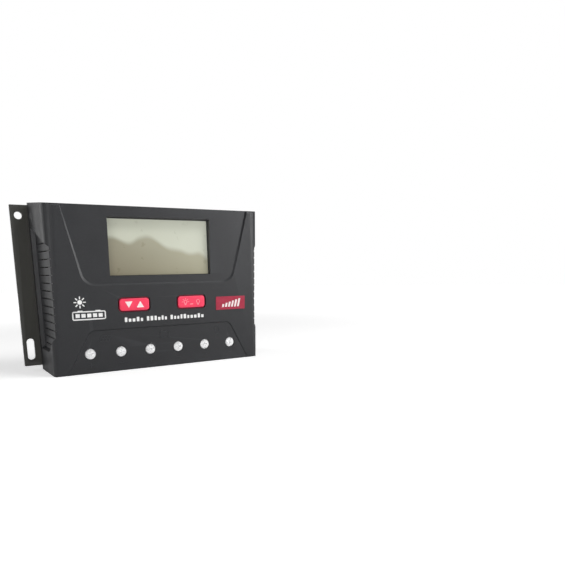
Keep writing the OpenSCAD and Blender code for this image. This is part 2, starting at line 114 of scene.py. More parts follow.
class Shader:
    """A material and short calls for the nodes that repeat. Sizes are in millimetres."""

    def __init__(self, name, color, roughness, metallic=0.0, **sockets):
        self.material = bpy.data.materials.new(name)
        self.material.use_nodes = True
        self.tree = self.material.node_tree
        self.surface = self.tree.nodes["Principled BSDF"]
        self.set("Base Color", (*color, 1))
        self.set("Roughness", roughness)
        self.set("Metallic", metallic)
        for socket, value in sockets.items():
            self.set(socket.replace("_", " ").title().replace("Ior", "IOR"), value)
        self.place = self.node("TexCoord").outputs["Object"]
        self.normal = None

    def set(self, socket, value):
        self.surface.inputs[socket].default_value = value

    def drive(self, socket, output):
        self.tree.links.new(output, self.surface.inputs[socket])

    def node(self, kind, **settings):
        node = self.tree.nodes.new("ShaderNode" + kind)
        for name, value in settings.items():
            setattr(node, name, value)
        return node

    def feed(self, node, socket, value):
        """Sets a socket to a number or colour, or links an output to it."""
        if isinstance(value, bpy.types.NodeSocket):
            self.tree.links.new(value, node.inputs[socket])
        else:
            node.inputs[socket].default_value = value

    def stretched(self, stretch):
        """Object coordinates, drawn out along each axis by a factor."""
        node = self.node("Mapping")
        self.feed(node, "Vector", self.place)
        self.feed(node, "Scale", [1 / factor for factor in stretch])
        return node.outputs["Vector"]

    def noise(self, size, detail=2.0, roughness=0.5, stretch=(1, 1, 1)):
        node = self.node("TexNoise")
        self.feed(node, "Vector", self.stretched(stretch))
        self.feed(node, "Scale", 1 / (size * MM))
        self.feed(node, "Detail", detail)
        self.feed(node, "Roughness", roughness)
        return node.outputs["Fac"]

    def cells(self, size, feature="F1", randomness=1.0):
        node = self.node("TexVoronoi", feature=feature)
        self.feed(node, "Vector", self.place)
        self.feed(node, "Scale", 1 / (size * MM))
        self.feed(node, "Randomness", randomness)
        return node.outputs["Distance"]

    def axis(self, name):
        node = self.node("SeparateXYZ")
        self.feed(node, 0, self.place)
        return node.outputs[name]

    def span(self, value, low, high, to_low=0.0, to_high=1.0, smooth=False):
        """Maps low..high to to_low..to_high, and stays at the ends beyond them."""
        node = self.node("MapRange", interpolation_type="SMOOTHSTEP" if smooth else "LINEAR")
        for socket, number in enumerate((value, low, high, to_low, to_high)):
            self.feed(node, socket, number)
        return node.outputs["Result"]

    def math(self, operation, a, b=0.0):
        node = self.node("Math", operation=operation)
        self.feed(node, 0, a)
        self.feed(node, 1, b)
        return node.outputs["Value"]

    def mix(self, share, a, b, blend="MIX"):
        node = self.node("MixRGB", blend_type=blend)
        self.feed(node, "Fac", share)
        self.feed(node, "Color1", a if isinstance(a, bpy.types.NodeSocket) else (*a, 1))
        self.feed(node, "Color2", b if isinstance(b, bpy.types.NodeSocket) else (*b, 1))
        return node.outputs["Color"]

    def edges(self, low=0.52, high=0.62):
        """1 along convex edges, 0 elsewhere."""
        return self.span(self.node("NewGeometry").outputs["Pointiness"], low, high)

    def bump(self, height, depth):
        """Adds relief of a depth to whatever relief the material already has."""
        node = self.node("Bump")
        self.feed(node, "Height", height)
        self.feed(node, "Distance", depth * MM)
        if self.normal:
            self.feed(node, "Normal", self.normal)
        self.normal = node.outputs["Normal"]
        self.drive("Normal", self.normal)


def shade(color, factor):
    return tuple(channel * factor for channel in color)


def moulded(name, color, roughness, grain=0.22, depth=0.012, worn_edge_and_highlight=1.5, **sockets):
    """Spark-eroded moulded plastic: a fine grain, faint flow tones and lighter edges, partly worn,
    partly a painted highlight.
    """
    s = Shader(name, color, roughness, **sockets)
    tone = s.mix(s.noise(38, 3), shade(color, 0.88), shade(color, 1.12))
    darker = s.mix(1.0, tone, (0.82, 0.82, 0.82), "MULTIPLY")
    tone = s.mix(s.span(s.noise(0.5, 2), 0.35, 0.65), tone, darker)
    # Convex edges painted lighter: partly worn, partly a painted highlight.
    s.drive("Base Color", s.mix(s.math("MULTIPLY", s.edges(), 0.5), tone, shade(color, worn_edge_and_highlight)))
    s.drive("Roughness", s.span(s.noise(9, 4), 0.3, 0.7, roughness - 0.05, roughness + 0.06))
    s.bump(s.noise(grain, 3, 0.6), depth)
    s.bump(s.cells(grain * 2.2, "SMOOTH_F1"), depth * 0.8)
    return s.material


def anodised():
    """Black anodised extrusion: die lines along Z, a fine etched grain and lighter edges, partly
    worn, partly a painted highlight.
    """
    color = (0.05, 0.0492, 0.0435)
    s = Shader("anodised_black", color, 0.42, 0.35, specular_ior_level=0.4)
    lines = s.noise(0.35, 3, 0.6, (1, 1, 120))
    broad = s.noise(3.5, 2, 0.5, (1, 1, 60))
    tone = s.mix(lines, shade(color, 0.8), shade(color, 1.25))
    tone = s.mix(s.math("MULTIPLY", broad, 0.35), tone, shade(color, 0.7))
    # Convex edges painted lighter grey: partly worn, partly a painted highlight.
    s.drive("Base Color", s.mix(s.math("MULTIPLY", s.edges(), 0.3), tone, (0.13, 0.13, 0.125)))
    s.drive("Roughness", s.span(lines, 0.25, 0.75, 0.34, 0.52))
    s.bump(lines, 0.012)
    s.bump(s.noise(0.12, 2), 0.004)
    return s.material


def metal(name, color, roughness, brush=(1, 1, 1), stain=None, metallic=1.0):
    """Plated or turned metal with brush marks, dull patches, and recesses painted darker as painted
    shade.
    """
    s = Shader(name, color, roughness, metallic)
    marks = s.noise(0.12, 4, 0.65, brush)
    patches = s.noise(2.2, 4, 0.6)
    tone = s.mix(s.span(patches, 0.35, 0.7), color, stain or shade(color, 0.82))
    # Painted shade: concave places are painted darker, as shade falls in them.
    hollow_shade = s.span(s.node("NewGeometry").outputs["Pointiness"], 0.5, 0.42)
    s.drive("Base Color", s.mix(s.math("MULTIPLY", hollow_shade, 0.35), tone, shade(color, 0.25)))
    s.drive("Roughness", s.span(marks, 0.3, 0.7, roughness * 0.75, roughness * 1.3))
    s.bump(marks, 0.006)
    s.bump(s.noise(0.9, 2), 0.01)
    return s.material


def ink(name, color, under, cover=0.9):
    """Pad-printed ink with pinholes and slightly thin patches over the colour below."""
    s = Shader(name, color, 0.42)
    pinholes = s.span(s.cells(0.32), 0.02, 0.09)
    thin = s.span(s.noise(2.6, 3), 0.25, 0.6, cover, 1.0)
    s.drive("Base Color", s.mix(s.math("MULTIPLY", pinholes, thin), under, color))
    s.bump(s.noise(0.25, 2), 0.005)
    return s.material


def key_rubber():
    """Coloured silicone: a soft sheen, a little light through it, lighter edges (part worn, part
    painted highlight) and flanks painted darker as painted shade.
    """
    color = (0.95, 0.045, 0.115)
    s = Shader("key_rubber", color, 0.4, subsurface_weight=0.12, subsurface_scale=0.0006)
    s.set("Subsurface Radius", (1.0, 0.25, 0.25))
    tone = s.mix(s.noise(6, 3), shade(color, 0.93), shade(color, 1.05))
    # Convex edges painted lighter: partly worn, partly a painted highlight.
    tone = s.mix(s.math("MULTIPLY", s.edges(0.55, 0.7), 0.25), tone, (1.0, 0.25, 0.32))
    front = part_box("key_page")[0].y
    # Painted shade: the flanks deep in the gap round the key are painted darker, as the gap's
    # shadow.
    flank_shade = s.span(s.axis("Y"), front + 0.9 * MM, front + 1.5 * MM)
    s.drive("Base Color", s.mix(flank_shade, tone, shade(color, 0.22)))
    s.drive("Roughness", s.span(s.noise(1.4, 4), 0.3, 0.7, 0.34, 0.48))
    s.bump(s.noise(0.16, 2), 0.006)
    return s.material


def label_film():
    """A printed film label: deep red with mottled ink and a fine dot screen."""
    color = (0.46, 0.016, 0.05)
    s = Shader("label_film", color, 0.45, specular_ior_level=0.3,
               coat_weight=0.08, coat_roughness=0.3)
    mottled = s.mix(s.noise(2.4, 4, 0.6), shade(color, 0.7), (0.5, 0.04, 0.085))
    dots = s.span(s.cells(0.18, randomness=0.15), 0.25, 0.4)
    s.drive("Base Color", s.mix(s.math("MULTIPLY", dots, 0.25), mottled, shade(color, 0.6)))
    s.bump(s.noise(0.5, 2), 0.006)
    return s.material


def lcd_film():
    """An unpowered reflective display: olive grey; a painted reflection makes it paler above a soft
    wavy border.
    """
    low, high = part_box("lcd_glass")
    s = Shader("lcd_film", (0.5, 0.52, 0.42), 0.32, coat_weight=0.35, coat_roughness=0.08)
    height = s.span(s.axis("Z"), low.z, high.z)
    # The wavy border is the lower edge of the painted reflection.
    hills = s.noise(26, 1.0, 0.4, (1, 1, 5))
    border = s.math("ADD", height, s.span(hills, 0.3, 0.7, -0.16, 0.16))
    border = s.math("SUBTRACT", border, s.span(s.axis("X"), low.x, high.x, 0.06, -0.1))
    across = s.span(s.axis("X"), low.x, high.x)
    # Painted light and shade: below the border it is darker towards the bottom and paler towards
    # the right.
    lower_painted_light_and_shade = s.mix(height, (0.20, 0.172, 0.113), (0.345, 0.335, 0.25))
    lower_painted_light_and_shade = s.mix(across, lower_painted_light_and_shade, s.mix(height, (0.37, 0.35, 0.24), (0.48, 0.48, 0.38)))
    # Painted reflection: above the border it is paler, a little more so on the right.
    painted_reflection = s.mix(across, (0.535, 0.55, 0.45), (0.58, 0.60, 0.50))
    tone = s.mix(s.span(border, 0.54, 0.64, smooth=True), lower_painted_light_and_shade, painted_reflection)
    s.drive("Base Color", tone)
    s.drive("Roughness", s.span(s.noise(5, 3), 0.3, 0.7, 0.26, 0.4))
    s.bump(s.noise(14, 1), 0.002)
    return s.material


def clear_glass():
    s = Shader("display_glass", (0.82, 0.9, 0.86), 0.06, transmission_weight=0.6, ior=1.52)
    s.drive("Roughness", s.span(s.noise(8, 4), 0.35, 0.7, 0.05, 0.14))
    s.bump(s.noise(12, 1), 0.003)
    return s.material


def circuit_board():
    """Solder mask over copper tracks, with plated holes and the weave of the laminate below."""
    mask = (0.012, 0.105, 0.04)
    s = Shader("circuit_board", mask, 0.28, coat_weight=0.4, coat_roughness=0.15)
    tracks = s.span(s.cells(5.5, "DISTANCE_TO_EDGE", randomness=0.45), 0.05, 0.075, 1.0, 0.0)
    fine = s.span(s.cells(2.1, "DISTANCE_TO_EDGE", randomness=0.2), 0.09, 0.12, 1.0, 0.0)
    holes = s.span(s.cells(3.7, randomness=0.6), 0.07, 0.085, 1.0, 0.0)
    weave = s.noise(0.45, 2, 0.5, (4, 1, 1))
    tone = s.mix(weave, shade(mask, 0.85), shade(mask, 1.15))
    tone = s.mix(s.math("MAXIMUM", tracks, s.math("MULTIPLY", fine, 0.45)), tone, (0.03, 0.2, 0.07))
    s.drive("Base Color", s.mix(holes, tone, (0.62, 0.58, 0.45)))
    s.drive("Metallic", holes)
    s.bump(tracks, 0.03)
    s.bump(weave, 0.008)
    return s.material


def striped_elastomer():
    """A contact strip of silicone with fine conducting bands across it."""
    silicone, carbon = (0.6, 0.3, 0.36), (0.05, 0.05, 0.05)
    s = Shader("striped_elastomer", silicone, 0.55)
    bands = s.noise(0.12, 2, 0.4, (1, 40, 40))
    s.drive("Base Color", s.mix(s.span(bands, 0.42, 0.58), silicone, carbon))
    s.bump(bands, 0.01)
    return s.material


def transistor_body():
    """Black epoxy with a tinned tab above it and tinned legs below it."""
    tab_h, leg_l = 6.6, 4.2
    low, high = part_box("mosfets")
    body_top = high.z - tab_h * MM
    body_low = low.z + leg_l * MM
    s = Shader("transistor_body", (0.012, 0.012, 0.012), 0.5)
    z = s.axis("Z")
    tin = s.math("ADD", s.math("GREATER_THAN", z, body_top), s.math("LESS_THAN", z, body_low))
    epoxy = s.mix(s.noise(0.8, 3), (0.010, 0.010, 0.010), (0.02, 0.02, 0.021))
    s.drive("Base Color", s.mix(tin, epoxy, (0.62, 0.61, 0.58)))
    s.drive("Metallic", tin)
    s.drive("Roughness", s.span(s.noise(0.5, 3), 0.3, 0.7, 0.32, 0.55))
    s.bump(s.noise(0.14, 2), 0.008)
    return s.material


def sleeve():
    """Shrink sleeve on a can. Its pale polarity stripe is a piece of its own."""
    s = Shader("capacitor_sleeve", (0.012, 0.018, 0.06), 0.32, coat_weight=0.3, coat_roughness=0.2)
    s.drive("Base Color", s.mix(s.noise(2.5, 3), (0.009, 0.014, 0.05), (0.017, 0.024, 0.075)))
    s.bump(s.noise(1.1, 2), 0.02)
    return s.material


def amber():
    s = Shader("fuse_plastic", (0.85, 0.45, 0.02), 0.18, transmission_weight=0.45, ior=1.5)
    s.drive("Base Color", s.mix(s.noise(3, 2), (0.72, 0.34, 0.012), (0.92, 0.52, 0.03)))
    s.bump(s.noise(0.8, 2), 0.008)
    return s.material


COVER_COLOR = (0.0255, 0.0263, 0.0290)
MATERIALS = {
    "cover": moulded("cover_plastic", COVER_COLOR, 0.43, specular_ior_level=0.42),
    "plate": anodised(),
    "bezel": moulded("bezel_plastic", (0.008, 0.008, 0.009), 0.5, 0.15, 0.006),
    "terminal": moulded("terminal_plastic", (0.014, 0.014, 0.015), 0.46, 0.3, 0.01),
    "black": moulded("connector_plastic", (0.013, 0.013, 0.014), 0.42, 0.2, 0.006),
    "chip": moulded("chip_epoxy", (0.010, 0.010, 0.011), 0.55, 0.12, 0.006, 1.3),
    "diffuser": moulded("backlight_acrylic", (0.82, 0.83, 0.79), 0.3, 0.4, 0.006, 1.0),
    "pad": moulded("thermal_silicone", (0.33, 0.35, 0.38), 0.7, 0.35, 0.02, 1.1),
    "ferrite": moulded("ferrite", (0.035, 0.032, 0.03), 0.6, 0.3, 0.02, 1.6),
    "nickel": metal("nickel_steel", (0.97, 0.972, 0.975), 0.45, metallic=0.1),
    "zinc": metal("zinc_steel", (0.66, 0.67, 0.68), 0.34),
    "cage": metal("passivated_steel", (0.66, 0.63, 0.53), 0.36, stain=(0.6, 0.5, 0.34)),
    "blackened": metal("blackened_steel", (0.06, 0.06, 0.062), 0.4),
    "brass": metal("brass", (0.78, 0.58, 0.27), 0.28, (1, 30, 1)),
    "tinned": metal("tinned_brass", (0.74, 0.68, 0.5), 0.33),
    "gold": metal("gold_flash", (0.86, 0.66, 0.3), 0.26),
    "copper": metal("copper", (0.72, 0.34, 0.2), 0.3),
    "aluminium": metal("can_aluminium", (0.78, 0.78, 0.79), 0.34),
    "ink": ink("white_ink", (0.88, 0.88, 0.87), COVER_COLOR),
    "key_ink": ink("key_ink", (0.95, 0.86, 0.84), (0.93, 0.052, 0.125)),
    "faint_ink": ink("faint_key_ink", (0.98, 0.42, 0.47), (0.93, 0.052, 0.125), 0.6),
    "label_ink": ink("label_ink", (0.86, 0.78, 0.77), (0.40, 0.028, 0.062)),
    "key": key_rubber(),
    "label": label_film(),
    "lcd": lcd_film(),
    "glass": clear_glass(),
    "board": circuit_board(),
    "zebra": striped_elastomer(),
    "mosfet": transistor_body(),
    "sleeve": sleeve(),
    "amber": amber(),
}


def dress(obj, material):
    obj.data.materials.clear()
    obj.data.materials.append(MATERIALS[material])


# ---- Mesh building ------------------------------------------------------------------------

SHARP_ANGLE = math.radians(32)
BEVEL_SEGMENTS = 2
LARGE_FACE_WEIGHT = 100
FLAT_ANGLE = math.radians(0.5)


def arc(centre, r, start, end, steps):
    """Points on an arc, from one angle to another in degrees."""
    angles = [math.radians(start + (end - start) * i / steps) for i in range(steps + 1)]
    return [(centre[0] + r * math.cos(a), centre[1] + r * math.sin(a)) for a in angles]


def polar(centre, r, degrees):
    """The point at a distance and an angle from a centre."""
    return arc(centre, r, degrees, degrees, 1)[0]


def rounded(half_w, half_h, r, steps, centre=(0, 0)):
    """A rectangle with rounded corners, anticlockwise."""
    points = []
    for turn, (sx, sz) in enumerate([(1, -1), (1, 1), (-1, 1), (-1, -1)]):
        corner = (centre[0] + sx * (half_w - r), centre[1] + sz * (half_h - r))
        points += arc(corner, r, turn * 90 - 90, turn * 90, steps)
    return points


def join(bm, ring, other):
    """Faces between two rings of the same length, or between a ring and a single point."""
    if len(ring) == 1:
        ring = ring * len(other)
    if len(other) == 1:
        other = other * len(ring)
    for i in range(len(ring)):
        after = (i + 1) % len(ring)
        corners = []
        for vert in (ring[i], ring[after], other[after], other[i]):
            if vert not in corners:
                corners.append(vert)
        bm.faces.new(corners)


def at_depth(points, y):
    """Flat points across and up, set at one depth."""
    return [(x, y, z) for x, z in points]


def loft(bm, rings):
    """A skin over rings of points. The end rings are filled, unless they are single points."""
    made = [[bm.verts.new(point) for point in ring] for ring in rings]
    for ring, other in zip(made, made[1:]):
        join(bm, ring, other)
    for ring in (made[0], made[-1]):
        if len(ring) > 2:
            bm.faces.new(ring)


def turned(bm, profile, steps=48, centre=(0, 0)):
    """A solid turned about the Y axis through centre. The profile is a list of radius and y."""
    rings = []
    for r, y in profile:
        if r == 0:
            rings.append([(centre[0], y, centre[1])])
        else:
            rings.append(at_depth(arc(centre, r, 0, 360 - 360 / steps, steps - 1), y))
    loft(bm, rings)


def box(bm, low, high):
    """A plain box, for a cutter or for a piece that gets bevelled."""
    sides = [(low[0], low[2]), (high[0], low[2]), (high[0], high[2]), (low[0], high[2])]
    loft(bm, [at_depth(sides, y) for y in (low[1], high[1])])


def raw_object(name, bm):
    """An object made from a mesh as it is, with outward normals."""
    bmesh.ops.recalc_face_normals(bm, faces=bm.faces)
    mesh = bpy.data.meshes.new(name)
    bm.to_mesh(mesh)
    bm.free()
    obj = bpy.data.objects.new(name, mesh)
    bpy.context.scene.collection.objects.link(obj)
    return obj


def finished(name, bm, place=ROW):
    """A smooth-shaded object in metres, made from a mesh in millimetres that is set in a frame."""
    bm.transform(Matrix.Scale(MM, 4) @ place)
    obj = raw_object(name, bm)
    mesh = obj.data
    mesh.polygons.foreach_set("use_smooth", [True] * len(mesh.polygons))
    mesh.set_sharp_from_angle(angle=SHARP_ANGLE)
    return obj


def piece(name, bm, material, body, place=ROW, stands_for=(), bevel=0.0):
    """A finished piece of the object, riding on a CAD body."""
    obj = finished(name, bm, place)
    dress(obj, material)
    if bevel:
        bevelled(obj, bevel)
    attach(obj, body)
    if stands_for:
        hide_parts(*stands_for)
    return obj


def bevelled(obj, width):
    """Rounds an object's sharp edges, and lets its large faces set the shading beside them."""
    modifier = obj.modifiers.new("rounded_edges", "BEVEL")
    modifier.width = width * MM
    modifier.segments = BEVEL_SEGMENTS
    modifier.limit_method = "ANGLE"
    modifier.angle_limit = SHARP_ANGLE
    modifier.use_clamp_overlap = True
    normals = obj.modifiers.new("even_normals", "WEIGHTED_NORMAL")
    normals.keep_sharp = True
    normals.weight = LARGE_FACE_WEIGHT


def cut(bm, *cutters):
    """A mesh less each cutter in turn."""
    for cutter in cutters:
        solid, tool = raw_object("cut_solid", bm), raw_object("cut_tool", cutter)
        modifier = solid.modifiers.new("cut", "BOOLEAN")
        modifier.operation = "DIFFERENCE"
        modifier.solver = "EXACT"
        modifier.object = tool
        bpy.context.view_layer.update()
        bm = bmesh.new()
        bm.from_object(solid, bpy.context.evaluated_depsgraph_get())
        for obj in (solid, tool):
            mesh = obj.data
            bpy.data.objects.remove(obj)
            bpy.data.meshes.remove(mesh)
        bmesh.ops.remove_doubles(bm, verts=bm.verts, dist=1e-4)
    return bm


def absorb(bm, other, place=ROW):
    """Adds another mesh, set in a frame, to a mesh."""
    other.transform(place)
    bmesh.ops.recalc_face_normals(other, faces=other.faces)
    mesh = bpy.data.meshes.new("absorbed")
    other.to_mesh(mesh)
    other.free()
    bm.from_mesh(mesh)
    bpy.data.meshes.remove(mesh)


def ribbon(bm, points, thickness, low_x, high_x, place=ROW):
    """A strip of sheet metal, bent along points in y and z, between two places across."""
    rings = []
    for i, (y, z) in enumerate(points):
        before, after = points[max(i - 1, 0)], points[min(i + 1, len(points) - 1)]
        along = Vector((after[0] - before[0], after[1] - before[1])).normalized()
        side = Vector((-along.y, along.x)) * thickness / 2
        corners = [(low_x, 1), (high_x, 1), (high_x, -1), (low_x, -1)]
        rings.append([place @ Vector((x, y + side.x * sign, z + side.y * sign))
                      for x, sign in corners])
    loft(bm, rings)


# ---- Flat drawings ------------------------------------------------------------------------
# A drawing is a list of faces, each a list of points across and up, in millimetres.

def bar(x0, z0, x1, z1, r):
    """An upright rectangle with rounded corners."""
    centre = ((x0 + x1) / 2, (z0 + z1) / 2)
    return [rounded(abs(x1 - x0) / 2, abs(z1 - z0) / 2, r, 4, centre)]


def stroke(start, end, width):
    """A straight line with round ends."""
    turn = math.degrees(math.atan2(end[1] - start[1], end[0] - start[0]))
    r = width / 2
    return [arc(end, r, turn - 90, turn + 90, 8) + arc(start, r, turn + 90, turn + 270, 8)]


def path(points, width, closed=False):
    """Joined strokes through points."""
    ends = points[1:] + points[:1] if closed else points[1:]
    return [face for start, end in zip(points, ends) for face in stroke(start, end, width)]


def disc(centre, r):
    steps = 32
    return [arc(centre, r, 0, 360 - 360 / steps, steps - 1)]


def ring(centre, r, width, start, end):
    """A curved line of a width, from one angle to another."""
    steps = 36
    inner = arc(centre, r - width / 2, start, end, steps)
    outer = arc(centre, r + width / 2, start, end, steps)
    return [[inner[i], outer[i], outer[i + 1], inner[i + 1]] for i in range(steps)]


def sun(centre, r, width):
    """A disc with eight rays."""
    drawing = disc(centre, r * 0.42)
    for turn in range(8):
        start, end = [polar(centre, reach, turn * 45) for reach in (r * 0.66, r)]
        drawing += stroke(start, end, width)
    return drawing


def battery(centre, half_w, half_h, width, bars):
    """A battery outline with two terminals on top and a number of charge bars."""
    x, z = centre
    drawing = path(rounded(half_w, half_h, width, 3, centre), width, closed=True)
    for side in (-1, 1):
        post = x + side * half_w * 0.55
        drawing += bar(post - half_w * 0.16, z + half_h, post + half_w * 0.16,
                       z + half_h * 1.35, width * 0.3)
    pitch = 2 * (half_w - width * 1.6) / bars if bars else 0
    for i in range(bars):
        left = x - half_w + width * 1.6 + i * pitch
        drawing += bar(left + pitch * 0.14, z - half_h + width * 1.7, left + pitch * 0.86,
                       z + half_h - width * 1.7, width * 0.3)
    return drawing


def bulb(centre, r, width):
    """A lamp: a round bulb open at the bottom, over a two-bar cap."""
    x, z = centre
    drawing = ring(centre, r, width, -50, 230)
    for side in (-1, 1):
        neck = polar(centre, r, 270 + side * 40)
        drawing += stroke(neck, (x + side * r * 0.42, z - r * 1.35), width)
    for step in (1.45, 1.85):
        drawing += stroke((x - r * 0.4, z - r * step), (x + r * 0.4, z - r * step), width)
    return drawing


def panel(centre, half_w, half_h, width):
    """A leaning solar panel with its grid."""
    x, z = centre
    lean = half_h * 0.5
    drawing = []
    for i in range(4):
        across = -half_w + 2 * half_w * i / 3
        drawing += stroke((x + across - lean, z - half_h), (x + across + lean, z + half_h), width)
    for i in range(3):
        up = -half_h + half_h * i
        shift = lean * up / half_h
        drawing += stroke((x - half_w + shift, z + up), (x + half_w + shift, z + up), width)
    return drawing


def relief(name, drawing, place, y, thickness, material, body, crown=None):
    """A drawing raised from a surface at y by a thickness. crown gives the surface's own shape."""
    bm = bmesh.new()
    for face in drawing:
        flat = bmesh.new()
        flat.faces.new([flat.verts.new((x, 0, z)) for x, z in face])
        grown = bmesh.ops.extrude_face_region(flat, geom=flat.faces[:], use_keep_orig=True)
        raised = [item for item in grown["geom"] if isinstance(item, bmesh.types.BMVert)]
        for vert in flat.verts:
            vert.co.y = y + (crown(vert.co.x, vert.co.z) if crown else 0)
        for vert in raised:
            vert.co.y -= thickness
        absorb(bm, flat)
    return piece(name, bm, material, body, place)


# ---- Cover, base plate and printing -------------------------------------------------------

def softened(node, material, width):
    """Gives a CAD node its material and small edge radii."""
    obj = nodes[node]
    dress(obj, material)
    weld = obj.modifiers.new("weld", "WELD")
    weld.merge_threshold = 1e-6
    flat = obj.modifiers.new("merge_flat", "DECIMATE")
    flat.decimate_type = "DISSOLVE"
    flat.angle_limit = FLAT_ANGLE
    bevelled(obj, width)


INK_LIFT = 0.005
INK_T = 0.035
LINE_LEFT = -27.4
LINE_FOOT = 33.1
LINE_GROUPS = (5, 6, 10)
BLOCK_H = 2.2
TALL_BLOCK_H = 3.1
BLOCK_GAP = 0.92
GROUP_GAP = 1.7


def printing():
    """White printing on the face: two pictograms and a line of three groups of plain blocks."""
    drawing = sun(centre=(-55.6, 47.6), r=3.5, width=0.7)
    drawing += battery(centre=(-50.2, 38.9), half_w=10.2, half_h=2.5, width=0.75, bars=5)
    relief("print_marks", drawing, FACE, INK_LIFT, INK_T, "ink", "case")
    rng = random.Random(5)
    x = LINE_LEFT
    drawing = []
    for blocks in LINE_GROUPS:
        for i in range(blocks):
            width = rng.uniform(1.35, 1.9)
            height = TALL_BLOCK_H if i == 0 or rng.random() < 0.25 else BLOCK_H
            drawing += bar(x, LINE_FOOT, x + width, LINE_FOOT + height, 0.35)
            x += width + BLOCK_GAP
        x += GROUP_GAP
    relief("print_line", drawing, FACE, INK_LIFT, INK_T, "ink", "case")


def label_printing():
    """Six rising bars on the label."""
    low, high = extent("rating_label", FACE)
    across = high.x - low.x
    bar_w = 1.5
    foot = low.z + 1.9
    drawing = []
    for i in range(6):
        x = low.x + across * (0.2 + 0.105 * i)
        height = 2.2 + 0.75 * i
        lean = height * 0.22
        drawing.append([(x, foot), (x + bar_w, foot), (x + bar_w + lean, foot + height),
                        (x + lean, foot + height)])
    relief("label_marks", drawing, FACE, low.y + 0.005, 0.03, "label_ink", "case")


def terminal_marks():
    """Raised panel, battery and lamp signs above the pairs of terminals, and poles below them."""
    screws = [extent(f"terminal_screw_{i}") for i in TERMINALS]
    centres = [(low.x + high.x) / 2 for low, high in screws]
    pairs = [(centres[i] + centres[i + 1]) / 2 for i in (0, 2, 4)]
    width = 0.55
    drawing = panel((pairs[0], 22.8), 3.2, 1.9, width)
    drawing += battery((pairs[1], 22.5), 3.3, 2.0, width, 0)
    drawing += bulb((pairs[2], 23.6), 1.9, width)
    pole_z, arm = 5.6, 1.3
    for i, x in enumerate(centres):
        drawing += stroke((x - arm, pole_z), (x + arm, pole_z), width)
        if i % 2 == 0:
            drawing += stroke((x, pole_z - arm), (x, pole_z + arm), width)
    relief("terminal_signs", drawing, FACE, PANEL_DEPTH + 0.02, 0.2, "cover", "case")


# ---- Keys ---------------------------------------------------------------------------------

KEY_RIM_X = 1.7
KEY_RIM_Z = 1.5
KEY_SKIRT_H = 3.1
KEY_FLANGE_T = 1.2
KEY_STEM_R = 1.6
KEY_CORNER_R = 2.0
KEY_TOP_R = 0.6
KEY_CROWN = 0.16
KEY_EDGE = 0.25
KEY_GAP = 0.02


def key_cap(side_name, drawing, drawing_material):
    """A crowned key cap with its retaining flange and stem, and the signs printed on it."""
    node = f"key_{side_name}"
    body = f"{side_name}_key"
    low, high = extent(node)
    x, z = middle(low, high)
    half_w = (high.x - low.x) / 2 - KEY_RIM_X
    half_h = (high.z - low.z) / 2 - KEY_RIM_Z
    top = low.y + face_slope * half_h
    flange = top + KEY_SKIRT_H
    back = flange + KEY_FLANGE_T

    def crown(px, pz):
        dome = KEY_CROWN * (((px - x) / half_w) ** 2 + ((pz - z) / half_h) ** 2) / 2
        return dome - face_slope * (pz - z)

    def outline(inset, y, crowned=False):
        corner_r = max(KEY_CORNER_R - inset, 0.3)
        points = rounded(half_w - inset, half_h - inset, corner_r, 8, (x, z))
        return [(px, y + (crown(px, pz) if crowned else 0), pz) for px, pz in points]

    rings = [outline(KEY_GAP, flange + 0.1), outline(KEY_GAP, top + KEY_TOP_R + KEY_CROWN, True)]
    for inset, sink in arc((KEY_TOP_R, KEY_TOP_R), KEY_TOP_R, 180, 270, 7):
        rings.append(outline(inset + KEY_GAP, top + sink, True))
    for inset in (1.4, 2.2, 3.2):
        rings.append(outline(inset, top, True))
    bm = bmesh.new()
    loft(bm, rings)
    rim_w, rim_h = half_w + KEY_RIM_X, half_h + KEY_RIM_Z
    rim = [(KEY_EDGE, flange), (0, flange + KEY_EDGE), (0, back - KEY_EDGE), (KEY_EDGE, back)]
    loft(bm, [at_depth(rounded(rim_w - inset, rim_h - inset, KEY_CORNER_R, 8, (x, z)), y)
              for inset, y in rim])
    root, tip_edge = flange + 0.8, 0.3
    stem = [(0, root), (KEY_STEM_R, root), (KEY_STEM_R, high.y - tip_edge),
            (KEY_STEM_R - tip_edge, high.y), (0, high.y)]
    turned(bm, stem, 32, (x, z))
    piece(f"cap_{side_name}", bm, "key", body, ROW, [node])
    moved = [[(px + x, pz + z) for px, pz in face] for face in drawing]
    relief(f"cap_{side_name}_signs", moved, ROW, top + 0.01, 0.045, drawing_material,
           body, crown)


def keys():
    """The page key with two arrows, and the load key with a lit lamp, a dash and an unlit lamp."""
    arrow_x, arrow_w, arrow_h = 3.9, 2.5, 2.1
    down = [(-arrow_x - arrow_w, arrow_h), (-arrow_x, -arrow_h), (-arrow_x + arrow_w, arrow_h)]
    up = [(arrow_x - arrow_w, -arrow_h), (arrow_x + arrow_w, -arrow_h), (arrow_x, arrow_h)]
    key_cap("page", [down, up], "key_ink")
    lit, unlit, line_w = (-4.6, 0.1), (4.9, 0.2), 0.35
    signs = bulb(lit, 1.05, line_w)
    for turn in (0, 45, 90, 135, 180):
        start, end = [polar(lit, reach, turn) for reach in (1.75, 2.5)]
        signs += stroke(start, end, line_w)
    signs += stroke((-0.9, -1.6), (0.9, -1.6), 0.5)
    signs += bulb(unlit, 1.2, line_w)
    key_cap("load", signs, "faint_ink")


# ---- Screws -------------------------------------------------------------------------------

